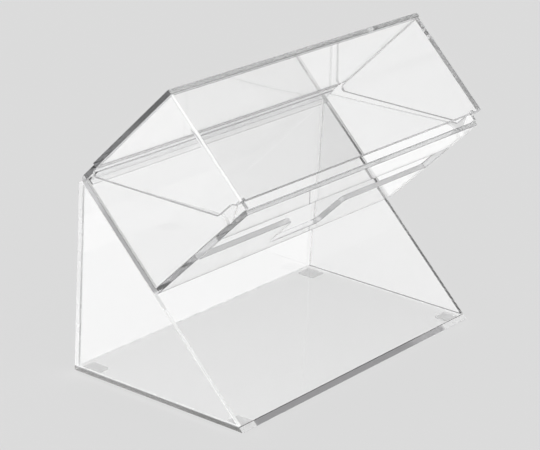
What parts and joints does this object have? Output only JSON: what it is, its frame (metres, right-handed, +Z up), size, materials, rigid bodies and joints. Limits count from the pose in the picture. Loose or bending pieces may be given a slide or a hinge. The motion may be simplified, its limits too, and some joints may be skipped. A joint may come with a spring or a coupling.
{
  "type": "paper towel dispenser",
  "caption": "Clear acrylic folded paper towel dispenser: a tilted tray with a front slot and finger recess on a triangular sheet stand, under a hinged lid.",
  "frame": {"origin": "centre of the bounding box's footprint, on the surface the feet stand on", "axes": "+X to the right of someone in front of it and along the box's length, +Y from front to back, +Z up"},
  "size_m": [0.272, 0.1408, 0.2121],
  "materials": {
    "clear_acrylic_base": "clear polished acrylic sheet",
    "clear_acrylic_back": "clear polished acrylic sheet",
    "clear_acrylic_side": "clear polished acrylic sheet",
    "clear_acrylic_tray": "clear heat-bent acrylic sheet",
    "clear_acrylic_end": "clear polished acrylic sheet",
    "clear_acrylic_strip": "clear acrylic angle strip, glued",
    "clear_acrylic_front": "clear polished acrylic sheet",
    "clear_acrylic_stop": "clear acrylic offcut, glued",
    "clear_acrylic_pin": "clear acrylic rod",
    "clear_acrylic_lid": "clear heat-bent acrylic sheet",
    "clear_soft_pad": "clear soft pad, satin"
  },
  "bodies": {
    "stand_and_tray": {"base_plate": "clear_acrylic_base", "back_panel": "clear_acrylic_back", "left_side_panel": "clear_acrylic_side", "right_side_panel": "clear_acrylic_side", "front_left_foot": "clear_soft_pad", "front_right_foot": "clear_soft_pad", "back_left_foot": "clear_soft_pad", "back_right_foot": "clear_soft_pad", "tray_body": "clear_acrylic_tray", "corner_strip": "clear_acrylic_strip", "tray_left_end": "clear_acrylic_end", "tray_right_end": "clear_acrylic_end", "front_upper_panel": "clear_acrylic_front", "left_lid_stop": "clear_acrylic_stop", "right_lid_stop": "clear_acrylic_stop", "hinge_rod": "clear_acrylic_pin"},
    "lid": {"lid_shell": "clear_acrylic_lid", "lid_back_panel": "clear_acrylic_lid"}
  },
  "joints": [
    {"name": "lid_hinge", "type": "hinge", "parent": "stand_and_tray", "child": "lid", "pos_m": [0, 0.05445, 0.14813], "axis": [-1, 0, 0], "range_deg": [0, 90]}
  ]
}
